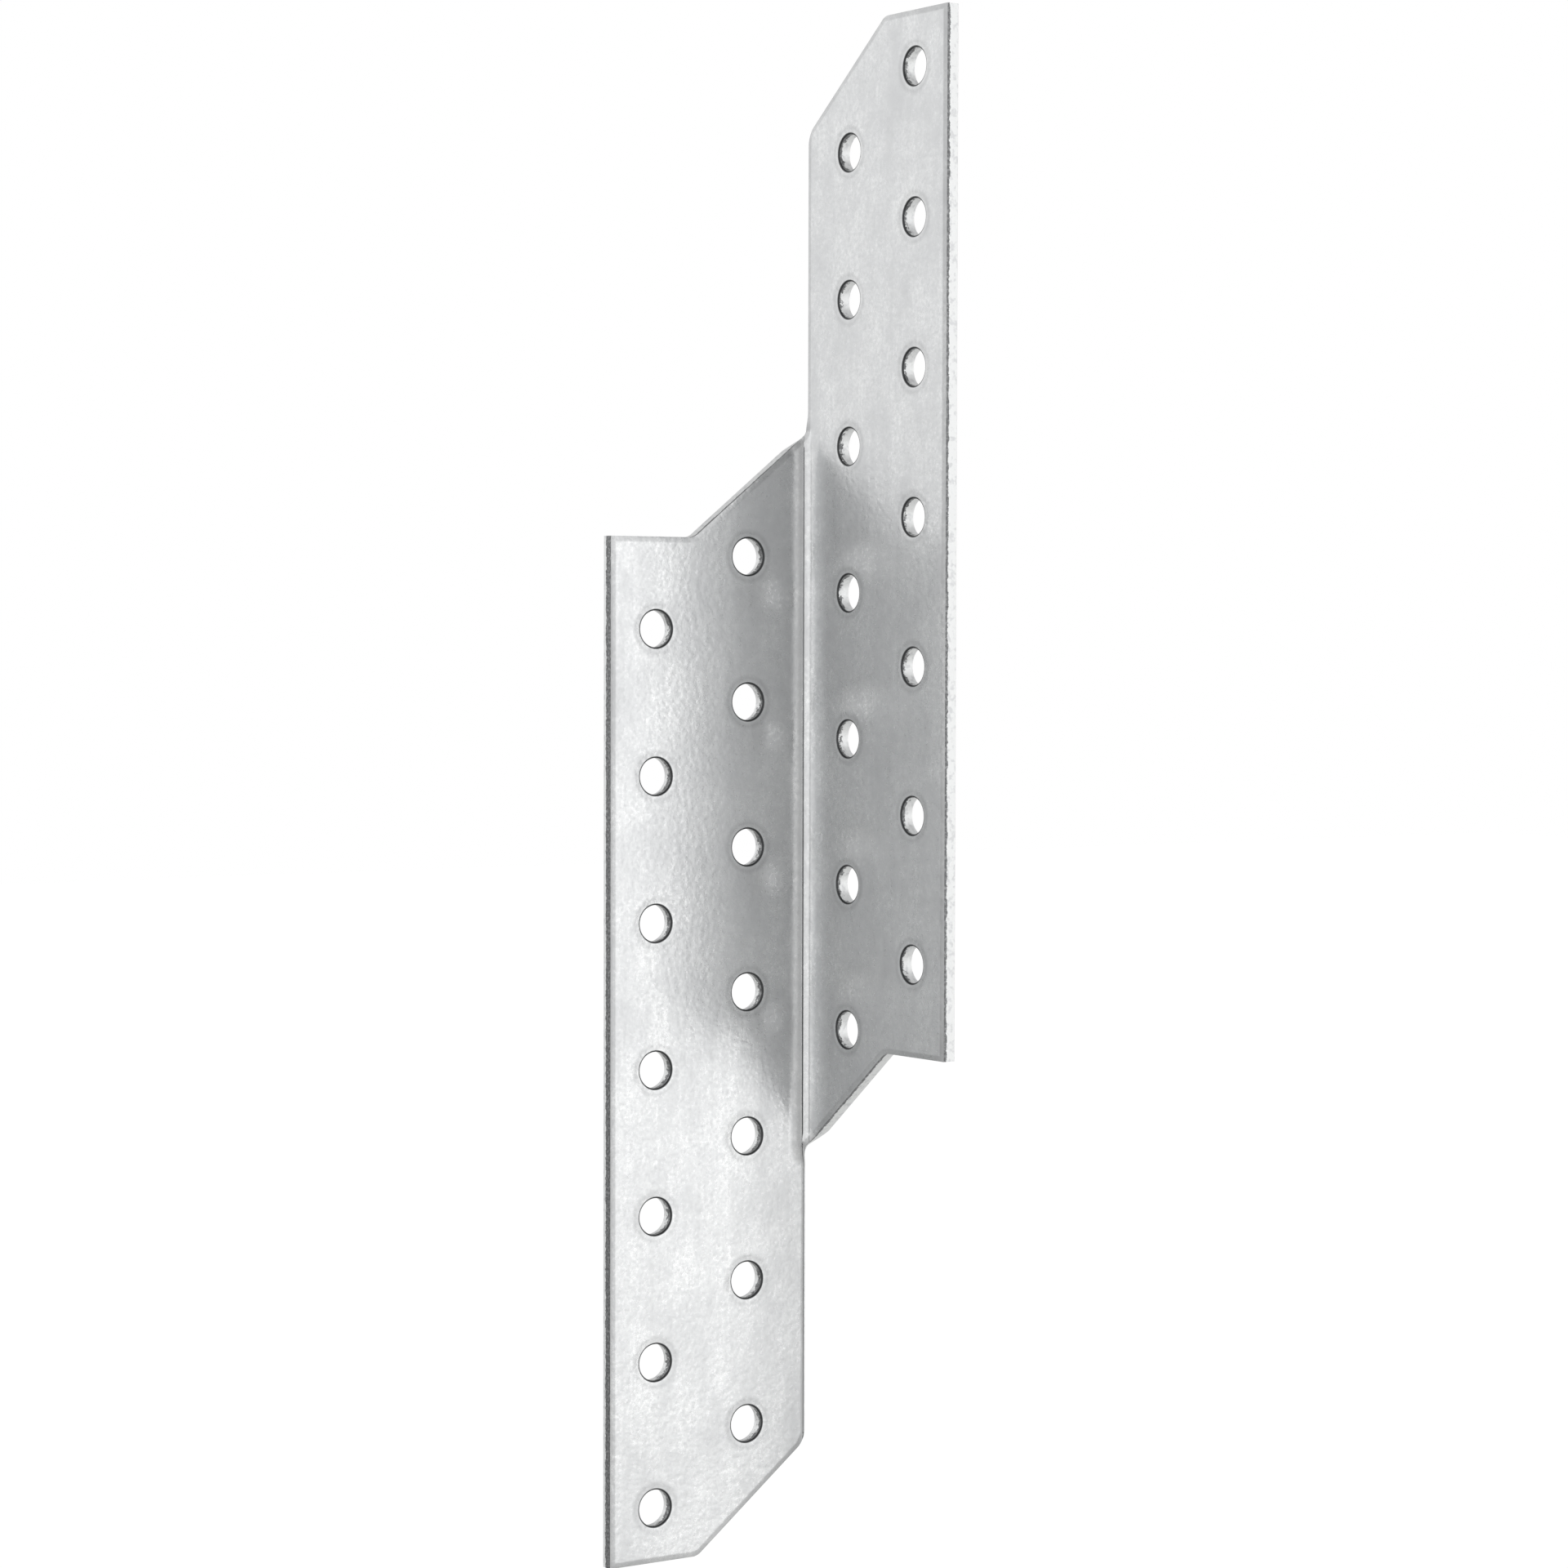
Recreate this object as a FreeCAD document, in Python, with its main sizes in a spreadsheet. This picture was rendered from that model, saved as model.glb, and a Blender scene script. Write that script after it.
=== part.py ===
"""Rafter anchor: a sheet-steel strip folded along its length into two leaves at right angles.

The purlin leaf hangs low, the rafter leaf stands high, and they share only the middle of the fold.
Frame: the fold runs along +Z, and the origin is where the two outer faces would meet, at mid height.
The purlin leaf's outer face lies in y = 0 and the rafter leaf's in x = 0. Both leaves reach towards
negative x and y, so the hollow side, which the photograph shows, looks towards -X and -Y.
A half turn about the line x = y, z = 0 carries one leaf onto the other.
"""
import FreeCAD
import Part
import Sketcher

import math
import os

# Driving dimensions, in millimetres unless the name says otherwise.
SIZES = {
    "sheet_thickness": 2.0,
    "bend_radius": 3.0,
    "neutral_share": 0.44,
    "overall_length": 210.0,
    "leaf_length": 140.0,
    "leaf_width": 34.0,
    "root_flat": 13.4,
    "root_rise": 14.6,
    "tip_flat": 14.1,
    "tip_rise": 14.1,
    "root_corner": 2.0,
    "tip_corner": 2.0,
    "border_corner": 3.0,
    "fold_fade": 3.0,
    "nail_hole": 5.0,
    "hole_pitch": 20.0,
    "hole_stagger": 10.0,
    "tip_margin": 7.5,
    "root_margin": 10.0,
    "edge_margin": 7.2,
    "column_gap": 15.0,
    "edge_roll": 0.4,
    "mouth_flare": 0.4,
    "mouth_depth": 0.3,
    "land_end": 1.0,
    "break_out": 0.12,
    "tool_overrun": 1.0,
}

NODE = "rafter_anchor"
ORIGIN = -1
START = 1
END = 2
CENTRE = 3
HELIX_BY_PITCH = 1
DIGITS = 9
TOUCH = 0.001
EDGE_SAMPLES = 5

# Angles about the bend's axis, in degrees, from the rafter leaf's tangent line to the purlin leaf's.
RAFTER_TANGENT = 0
BISECTOR = 45
PURLIN_TANGENT = 90
FULL_TURN = 360
HALF_BEND_TURNS = BISECTOR / FULL_TURN

# Lengths that follow from the sizes, as expressions of the sheet's cells.
HALF_LENGTH = "(Sizes.overall_length / 2)"
TANGENT = "(Sizes.sheet_thickness + Sizes.bend_radius)"
HALF_ALLOWANCE = "(pi / 4 * (Sizes.bend_radius + Sizes.neutral_share * Sizes.sheet_thickness))"
BORDER = f"({TANGENT} - {HALF_ALLOWANCE})"
ROOT_LEVEL = f"(Sizes.leaf_length - {HALF_LENGTH})"
FOLD_END = f"({ROOT_LEVEL} + Sizes.root_rise)"
ROOT_SLOPE = f"(Sizes.root_rise / (Sizes.leaf_width - Sizes.root_flat - {BORDER}))"
ROOT_AT_TANGENT = f"({FOLD_END} - {ROOT_SLOPE} * {HALF_ALLOWANCE})"
FADE_END = f"({FOLD_END} + Sizes.fold_fade)"
TIP_AT_BORDER = f"({HALF_LENGTH} - Sizes.tip_rise)"
OUTER_COLUMN = "(Sizes.leaf_width - Sizes.edge_margin)"
INNER_COLUMN = f"({OUTER_COLUMN} - Sizes.column_gap)"
OUTER_FIRST = f"({HALF_LENGTH} - Sizes.tip_margin)"
INNER_FIRST = f"({OUTER_FIRST} - Sizes.hole_stagger)"
COLUMN_ROOM = "(Sizes.leaf_length - Sizes.tip_margin - Sizes.root_margin)"
COLUMN_STEPS = f"floor({COLUMN_ROOM} / Sizes.hole_pitch)"


class Leaf:
    """One leaf: which plane holds its outer face, and which way its tip points."""

    def __init__(self, name, plane, cross_plane, swapped, tip_up):
        self.name = name
        self.plane = plane
        self.cross_plane = cross_plane
        self.swapped = swapped
        self.tip_up = tip_up

    @property
    def bend_half(self):
        """Half of the bend that belongs to this leaf, as angles about the bend's axis."""
        return (RAFTER_TANGENT, BISECTOR) if self.swapped else (BISECTOR, PURLIN_TANGENT)

    def level(self, expression):
        """Height of a point that is this far along the leaf, from mid height towards its tip."""
        return expression if self.tip_up else f"-({expression})"

    def across(self, reach, depth):
        """Place in the XY plane: reach along the leaf from the fold, depth into the sheet."""
        pair = (f"-({reach})", f"-({depth})")
        return (pair[1], pair[0]) if self.swapped else pair

    def reach_of(self, point):
        """Coordinate of a point along the leaf, away from the fold."""
        return point.y if self.swapped else point.x

    def depth_of(self, point):
        """Coordinate of a point through the leaf's thickness."""
        return point.x if self.swapped else point.y


LEAVES = [
    Leaf("purlin", "XZ_Plane", "YZ_Plane", swapped=False, tip_up=False),
    Leaf("rafter", "YZ_Plane", "XZ_Plane", swapped=True, tip_up=True),
]


def make_sheet(doc):
    """Put every driving dimension into the spreadsheet, one named cell each."""
    sheet = doc.addObject("Spreadsheet::Sheet", "Sizes")
    for row, (name, value) in enumerate(SIZES.items(), start=1):
        sheet.set(f"A{row}", name)
        sheet.set(f"B{row}", str(value))
        sheet.setAlias(f"B{row}", name)
    doc.recompute()
    return sheet


def value_of(doc, expression):
    """Number that an expression of the sheet gives now, to draw a sketch near its solution."""
    return float(doc.Sizes.evalExpression(expression))


def origin_feature(body, role):
    """Plane or axis of the body's own origin."""
    return next(item for item in body.Origin.OriginFeatures if item.Role == role)


def new_sketch(body, name, role, offset=None):
    """Sketch on one of the body's origin planes, lifted off it by an expression if one is given."""
    sketch = body.newObject("Sketcher::SketchObject", name)
    sketch.AttachmentSupport = [(origin_feature(body, role), "")]
    sketch.MapMode = "FlatFace"
    if offset is not None:
        sketch.setExpression("AttachmentOffset.Base.z", offset)
    return sketch


def bind(sketch, kind, geometry, point, expression):
    """Hold one coordinate of a sketch point at the value of an expression."""
    now = value_of(sketch.Document, expression)
    index = sketch.addConstraint(Sketcher.Constraint(kind, ORIGIN, START, geometry, point, now))
    sketch.setExpression(f"Constraints[{index}]", expression)


def bind_point(sketch, geometry, point, place):
    """Hold a sketch point at a pair of expressions."""
    bind(sketch, "DistanceX", geometry, point, place[0])
    bind(sketch, "DistanceY", geometry, point, place[1])


def vector_of(doc, place):
    """Present position of a pair of expressions."""
    return FreeCAD.Vector(value_of(doc, place[0]), value_of(doc, place[1]), 0)


def join(sketch, first, second):
    """Close the gap between the end of one edge and the start of the next."""
    sketch.addConstraint(Sketcher.Constraint("Coincident", first, END, second, START))


def draw_polygon(sketch, corners):
    """Closed outline of straight edges whose corners are pairs of expressions."""
    doc = sketch.Document
    spots = [vector_of(doc, corner) for corner in corners]
    edges = []
    for index, spot in enumerate(spots):
        following = spots[(index + 1) % len(spots)]
        edges.append(sketch.addGeometry(Part.LineSegment(spot, following)))
    for index, edge in enumerate(edges):
        join(sketch, edge, edges[(index + 1) % len(edges)])
        bind_point(sketch, edge, START, corners[index])


def draw_arc(sketch, centre, radius, turn):
    """Arc about a centre through the angles in turn, each of its ends held by expressions."""
    doc = sketch.Document
    middle = vector_of(doc, centre)
    circle = Part.Circle(middle, FreeCAD.Vector(0, 0, 1), value_of(doc, radius))
    first, last = (math.radians(angle) for angle in turn)
    arc = sketch.addGeometry(Part.ArcOfCircle(circle, first, last))
    bind_point(sketch, arc, CENTRE, centre)
    bind_point(sketch, arc, START, on_circle(centre, radius, turn[0]))
    finish = on_circle(centre, radius, turn[1])
    if abs(math.sin(last)) > abs(math.cos(last)):
        bind(sketch, "DistanceX", arc, END, finish[0])
    else:
        bind(sketch, "DistanceY", arc, END, finish[1])
    return arc


def on_circle(centre, radius, angle):
    """Point of a circle at an angle in degrees, as a pair of expressions."""
    across = round(math.cos(math.radians(angle)), DIGITS)
    along = round(math.sin(math.radians(angle)), DIGITS)
    return (f"{centre[0]} + {across} * ({radius})", f"{centre[1]} + {along} * ({radius})")


def draw_bend_sector(sketch, turn):
    """Section of the bend between two angles, from its inner radius to its outer one."""
    centre = (f"-{TANGENT}", f"-{TANGENT}")
    inner = draw_arc(sketch, centre, "Sizes.bend_radius", turn)
    outer = draw_arc(sketch, centre, TANGENT, turn)
    for point in (START, END):
        spots = [sketch.getPoint(arc, point) for arc in (inner, outer)]
        line = sketch.addGeometry(Part.LineSegment(*spots))
        sketch.addConstraint(Sketcher.Constraint("Coincident", line, START, inner, point))
        sketch.addConstraint(Sketcher.Constraint("Coincident", line, END, outer, point))


def pad(body, name, sketch, length, midplane=False, reverse=False):
    """Sheet or bar of the sketch's outline, as thick as the length says."""
    feature = body.newObject("PartDesign::Pad", name)
    feature.Profile = sketch
    feature.setExpression("Length", length)
    feature.Midplane = midplane
    feature.Reversed = reverse
    return feature


def leaf_corner(leaf, reach, along):
    """Point of a leaf's outline in its own plane, as a pair of expressions."""
    return (f"-({reach})", leaf.level(along))


def plate_corners(leaf):
    """Corners of a leaf's flat sheet, by name, in order round the outline."""
    root = f"-{ROOT_LEVEL}"
    root_cut = "Sizes.leaf_width - Sizes.root_flat"
    tip_cut = "Sizes.leaf_width - Sizes.tip_flat"
    return {
        "tip_edge": leaf_corner(leaf, "Sizes.leaf_width", HALF_LENGTH),
        "root_edge": leaf_corner(leaf, "Sizes.leaf_width", root),
        "root_corner": leaf_corner(leaf, root_cut, root),
        "slant_end": leaf_corner(leaf, TANGENT, f"-{ROOT_AT_TANGENT}"),
        "fade_root": leaf_corner(leaf, TANGENT, FADE_END),
        "fade_tip": leaf_corner(leaf, BORDER, FADE_END),
        "border_corner": leaf_corner(leaf, BORDER, TIP_AT_BORDER),
        "tip_corner": leaf_corner(leaf, tip_cut, HALF_LENGTH),
    }


def make_plate(body, leaf):
    """Flat sheet of one leaf: straight root, slant up to the fold, border, slanted tip."""
    sketch = new_sketch(body, f"{leaf.name}_outline", leaf.plane)
    draw_polygon(sketch, list(plate_corners(leaf).values()))
    pad(body, f"{leaf.name}_leaf", sketch, "Sizes.sheet_thickness", reverse=leaf.swapped)


def edge_names(shape, wanted):
    """Names of the shape's edges that pass a test."""
    return [f"Edge{index}" for index, edge in enumerate(shape.Edges, start=1) if wanted(edge)]


def round_edges(body, name, radius, wanted):
    """Fillet along every edge that passes a test."""
    body.Document.recompute()
    base = body.Tip
    names = edge_names(base.Shape, wanted)
    if not names:
        raise ValueError(f"{name} finds no edge")
    feature = body.newObject("PartDesign::Fillet", name)
    feature.Base = (base, names)
    feature.setExpression("Radius", radius)
    return feature


def round_corner(body, leaf, name):
    """Round one corner of a leaf's outline through the sheet's thickness."""
    spot = vector_of(body.Document, plate_corners(leaf)[name])

    def stands_there(edge):
        return all(
            abs(leaf.reach_of(vertex.Point) - spot.x) < TOUCH and abs(vertex.Point.z - spot.y) < TOUCH
            for vertex in edge.Vertexes
        )

    round_edges(body, f"{leaf.name}_{name}", f"Sizes.{name}", stands_there)


def roll_edges(body, leaf):
    """Drawn-in edge that the blanking punch leaves round the outline, on the hollow side."""
    doc = body.Document
    face = -value_of(doc, "Sizes.sheet_thickness")
    tangent = -value_of(doc, TANGENT)
    fade = value_of(doc, leaf.level(FADE_END))

    def is_rim(edge):
        spots = edge.discretize(Number=EDGE_SAMPLES)
        on_face = all(abs(leaf.depth_of(spot) - face) < TOUCH for spot in spots)
        on_tangent = all(abs(leaf.reach_of(spot) - tangent) < TOUCH for spot in spots)
        on_fade = all(abs(spot.z - fade) < TOUCH for spot in spots)
        return on_face and not on_tangent and not on_fade

    round_edges(body, f"{leaf.name}_edge_roll", "Sizes.edge_roll", is_rim)


def draw_punch(sketch, leaf, column):
    """Half section of a punched hole: drawn-in mouth, burnished land and wider torn zone."""
    radius = "Sizes.nail_hole / 2"
    thickness = "Sizes.sheet_thickness"
    mouth = f"{radius} + Sizes.mouth_flare"
    torn = f"{radius} + Sizes.break_out"
    beyond = "Sizes.tool_overrun"

    def spot(out, depth):
        return leaf.across(f"{column} + {out}", depth)

    axis_ends = [spot("0", f"-{beyond}"), spot("0", f"{thickness} + {beyond}")]
    outline = [
        spot(mouth, f"{thickness} + {beyond}"),
        spot(mouth, thickness),
        spot(radius, f"{thickness} - Sizes.mouth_depth"),
        spot(radius, f"{thickness} - Sizes.land_end"),
        spot(torn, "0"),
        spot(torn, f"-{beyond}"),
    ]
    draw_polygon(sketch, outline + axis_ends)
    ends = [vector_of(sketch.Document, end) for end in axis_ends]
    axis = sketch.addGeometry(Part.LineSegment(*ends), True)
    bind_point(sketch, axis, START, axis_ends[0])
    bind_point(sketch, axis, END, axis_ends[1])


def punch_column(body, leaf, name, column, first):
    """Column of nail holes along a leaf, one pitch apart from its tip, as many as the leaf has room for."""
    sketch = new_sketch(body, f"{leaf.name}_{name}_punch", "XY_Plane", leaf.level(first))
    draw_punch(sketch, leaf, column)
    body.Document.recompute()
    hole = body.newObject("PartDesign::Groove", f"{leaf.name}_{name}_hole")
    hole.Profile = sketch
    hole.ReferenceAxis = (sketch, ["Axis0"])
    hole.Angle = FULL_TURN
    body.Document.recompute()
    pattern = body.newObject("PartDesign::LinearPattern", f"{leaf.name}_{name}_holes")
    pattern.Originals = [hole]
    pattern.Direction = (origin_feature(body, "Z_Axis"), [""])
    pattern.Reversed = leaf.tip_up
    pattern.setExpression("Length", f"Sizes.hole_pitch * {COLUMN_STEPS}")
    pattern.setExpression("Occurrences", f"{COLUMN_STEPS} + 1")
    body.Tip = pattern


def make_bend(body):
    """Quarter-round bend over the height that both leaves share."""
    sketch = new_sketch(body, "bend_section", "XY_Plane")
    draw_bend_sector(sketch, (RAFTER_TANGENT, PURLIN_TANGENT))
    pad(body, "bend", sketch, f"2 * {FOLD_END}", midplane=True)


def make_fade(body, leaf):
    """Run-out of the bend past the other leaf, where the border strip goes from curved to flat."""
    curved = new_sketch(body, f"{leaf.name}_fade_start", "XY_Plane", leaf.level(FOLD_END))
    draw_bend_sector(curved, leaf.bend_half)
    flat = new_sketch(body, f"{leaf.name}_fade_end", "XY_Plane", leaf.level(FADE_END))
    inner = "Sizes.sheet_thickness"
    spots = [(TANGENT, inner), (BORDER, inner), (BORDER, "0"), (TANGENT, "0")]
    draw_polygon(flat, [leaf.across(*spot) for spot in spots])
    body.Document.recompute()
    feature = body.newObject("PartDesign::AdditiveLoft", f"{leaf.name}_fade")
    feature.Profile = curved
    feature.Sections = [flat]
    feature.Ruled = True


def cut_slant(body, leaf):
    """Slanted root edge carried round the bend, where the straight cut of the blank is a helix."""
    sketch = new_sketch(body, f"{leaf.name}_slant_profile", leaf.cross_plane)
    sketch.setExpression("AttachmentOffset.Base.x", f"-{TANGENT}")
    sketch.setExpression("AttachmentOffset.Base.z", TANGENT if leaf.swapped else f"-{TANGENT}")
    near = "Sizes.bend_radius / 2"
    far = f"{TANGENT} + Sizes.tool_overrun"
    low = leaf.level(f"-{ROOT_AT_TANGENT}")
    high = leaf.level(f"-({FOLD_END} + Sizes.tool_overrun)")
    draw_polygon(sketch, [(near, low), (far, low), (far, high), (near, high)])
    body.Document.recompute()
    cut = body.newObject("PartDesign::SubtractiveHelix", f"{leaf.name}_slant")
    cut.Profile = sketch
    cut.ReferenceAxis = (sketch, ["V_Axis"])
    cut.Mode = HELIX_BY_PITCH
    cut.Turns = HALF_BEND_TURNS
    cut.setExpression("Pitch", f"({FOLD_END} - {ROOT_AT_TANGENT}) / {HALF_BEND_TURNS}")
    cut.LeftHanded = True
    cut.Reversed = leaf.tip_up


def make_anchor(doc):
    """Both leaves with their rims and holes, then the bend that joins them."""
    body = doc.addObject("PartDesign::Body", "Anchor")
    body.Label = NODE
    body.AllowCompound = True
    for leaf in LEAVES:
        make_plate(body, leaf)
    for leaf in LEAVES:
        for name in ("root_corner", "tip_corner", "border_corner"):
            round_corner(body, leaf, name)
        roll_edges(body, leaf)
        punch_column(body, leaf, "outer", OUTER_COLUMN, OUTER_FIRST)
        punch_column(body, leaf, "inner", INNER_COLUMN, INNER_FIRST)
    make_bend(body)
    for leaf in LEAVES:
        make_fade(body, leaf)
    for leaf in LEAVES:
        cut_slant(body, leaf)
    doc.recompute()
    return body


def check(doc, body):
    """Stop if any object failed or the anchor is not one sound solid."""
    for item in doc.Objects:
        if {"Invalid", "Error"} & set(item.State):
            raise RuntimeError(f"{item.Name} failed: {item.State}")
    shape = body.Shape
    if shape.isNull() or not shape.isValid() or len(shape.Solids) != 1:
        raise RuntimeError(f"{body.Label} is not one sound solid")


def main():
    doc = FreeCAD.newDocument("RafterAnchor")
    make_sheet(doc)
    body = make_anchor(doc)
    check(doc, body)
    os.makedirs("parts", exist_ok=True)
    body.Shape.exportStep(f"parts/{body.Label}.step")
    print(f"{body.Label}: {body.Shape.Volume:.1f} cubic millimetres, {len(body.Shape.Faces)} faces")


main()
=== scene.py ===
"""Rafter anchor: a punched and folded strip of galvanised sheet steel, in a plain pale studio.

The strip is drawn flat in millimetres, rounded, rolled at its rims, punched and folded, as the real one is
made. It is then brought to metres in the frame of the part: fold along +Z, purlin leaf low in y = 0, rafter
leaf high in x = 0, hollow side towards -X and -Y. In the flat, the leaf on the -X side becomes the rafter
leaf, and +Z is the end that lies low.
"""

import math

import bmesh
import bpy
from bpy.props import FloatProperty, FloatVectorProperty, IntProperty, PointerProperty
from bpy.types import Operator, Panel, PropertyGroup
from mathutils import Euler, Matrix, Vector


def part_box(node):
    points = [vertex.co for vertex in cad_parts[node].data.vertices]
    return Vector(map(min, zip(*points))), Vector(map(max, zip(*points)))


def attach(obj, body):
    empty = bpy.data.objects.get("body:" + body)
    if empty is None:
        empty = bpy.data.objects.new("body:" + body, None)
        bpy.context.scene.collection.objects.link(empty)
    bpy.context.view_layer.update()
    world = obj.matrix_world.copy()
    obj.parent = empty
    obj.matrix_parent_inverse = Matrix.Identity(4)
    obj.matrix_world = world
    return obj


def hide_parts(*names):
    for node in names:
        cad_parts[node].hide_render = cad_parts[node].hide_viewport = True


bl_info = {
    "name": "Rafter anchor",
    "version": (1, 0, 0),
    "blender": (4, 5, 0),
    "location": "3D View > Sidebar > Anchor",
    "description": "Folded and punched sheet-steel anchor with its studio",
    "category": "Object",
}

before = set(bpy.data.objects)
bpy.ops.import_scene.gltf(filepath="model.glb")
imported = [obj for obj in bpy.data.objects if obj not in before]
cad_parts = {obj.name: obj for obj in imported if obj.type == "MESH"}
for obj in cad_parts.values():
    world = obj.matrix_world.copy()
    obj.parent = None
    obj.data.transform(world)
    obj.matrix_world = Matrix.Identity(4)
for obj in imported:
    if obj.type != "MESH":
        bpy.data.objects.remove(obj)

NODE = "rafter_anchor"
BODY = "root"

CAD_LOW, CAD_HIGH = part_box(NODE)
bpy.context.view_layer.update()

# Millimetres in a metre, because the strip is drawn in millimetres.
METRE = 1000.0

# Sizes that are shares or counts, and so aren't turned to millimetres.
PLAIN = ("neutral", "roll_flatness", "rim_wear", "long_edge_wear", "second_crease", "per_column")

# Distance in millimetres within which two places count as one.
NEAR = 0.01

# Part of a face's normal that points through the sheet: a sheared wall has less, an inner or outer face more.
STEEP = 0.5

# Angle under which neighbouring faces are one plane, and angle over which an edge stays crisp.
FLAT_ANGLE = math.radians(0.5)
CRISP_ANGLE = math.radians(35)

# Faces along a round of the outline, a drawn-in edge, a broken edge and the run-out of the fold.
CORNER_STEPS = 8
ROLL_STEPS = 5
BREAK_STEPS = 1
FADE_STEPS = 8

# Forms of a round of the outline and of a drawn-in edge, where 0.25 is a flat slope and 0.5 is round.
CORNER_PROFILE = 0.5
ROLL_PROFILE = 0.35

# Steps of a hole's dish, mouth and torn zone, and the power by which the torn zone widens with its depth.
DISH_STEPS = 4
MOUTH_STEPS = 7
TORN_STEPS = 5
TORN_POWER = 0.7

# Widths in millimetres of the unevenness of the torn zone, the land's end and the burr.
TEAR_GRAIN = 0.7
WAVE_GRAIN = 1.6
BURR_GRAIN = 1.0

# Strength of the burr's unevenness as a share of the burr.
BURR_SHARE = 0.8

# Depth in millimetres over which the torn share rises from nothing to all, in a hole and along the outline.
HOLE_TORN_SPAN = 1.0
EDGE_TORN_SPAN = 0.25

# Strips of half the bend, and the strips at which the two creases lie from the fold's middle.
BEND_STRIPS = 10
FIRST_CREASE = 1
SECOND_CREASE = -3

# Painted shade in a crease at mid height: it is less at the fold's upper end, and full at the lower one.
CREASE_SHADE = 0.7

# How fast the wear of a drawn-in edge grows with its depth.
WEAR_RISE = 4

# Weight of the larger faces in the smooth shading, where 50 favours neither large nor small ones.
AREA_WEIGHT = 90

# Places along X, in metres, where the painted shade on the purlin leaf beside the fold starts, is full, fades
# and ends.
FOLD_SHADE_START = -0.016
FOLD_SHADE_FULL = -0.004
FOLD_SHADE_FADING = -0.003
FOLD_SHADE_END = -0.002

# Cosines of the angles from the backdrop's middle at which its glow starts and is full.
BACKDROP_EDGE = 0.45
BACKDROP_FULL = 0.85

# Width of the camera's sensor in millimetres, and the distances in metres between which it sees.
SENSOR = 36.0
NEAREST = 0.01
FARTHEST = 50.0

# Patterns of each surface: width in millimetres, detail, roughness, and stretch along the fold.
ZINC_PATTERNS = {
    "grain": (0.5, 3.0, 0.7, 1.0),
    "ripple": (0.9, 2.0, 0.5, 1.0),
    "clouds": (6.0, 4.0, 0.6, 1.8),
    "patches": (2.2, 3.0, 0.6, 1.0),
    "streaks": (0.9, 2.0, 0.5, 24.0),
}
STEEL_PATTERNS = {
    "waves": (0.9, 4.0, 0.7, 1.0),
    "grain": (0.4, 3.0, 0.65, 1.0),
    "flakes": (0.7, 2.0, 0.5, 1.0),
}

TORN_NAME = "torn_share"
WEAR_AND_SHADE_NAME = "worn_share"
ZINC_SLOT = 0
SHEARED_SLOT = 1


def linear(code):
    """Linear colour of an sRGB hex code, with full alpha."""
    parts = [int(code[place : place + 2], 16) / 255 for place in (1, 3, 5)]
    bent = [part / 12.92 if part <= 0.04045 else ((part + 0.055) / 1.055) ** 2.4 for part in parts]
    return (*bent, 1.0)


def length(default, name, description):
    """Property of a length in metres."""
    return FloatProperty(
        name=name, description=description, default=default, min=0.0, unit="LENGTH", precision=5
    )


def share(default, name, description):
    """Property between nothing and all."""
    return FloatProperty(
        name=name, description=description, default=default, min=0.0, max=1.0, subtype="FACTOR"
    )


def brightness(default, name, description):
    """Property of a brightness, where 1 is the white that the camera sees."""
    return FloatProperty(name=name, description=description, default=default, min=0.0)


def angle(degrees, name, description):
    """Property of an angle that is written in degrees."""
    return FloatProperty(
        name=name, description=description, default=math.radians(degrees), subtype="ANGLE"
    )


def colour(code, name, description):
    """Property of a colour that is written as an sRGB hex code."""
    return FloatVectorProperty(
        name=name, description=description, default=linear(code), size=4, min=0.0, max=1.0, subtype="COLOR"
    )


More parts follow.
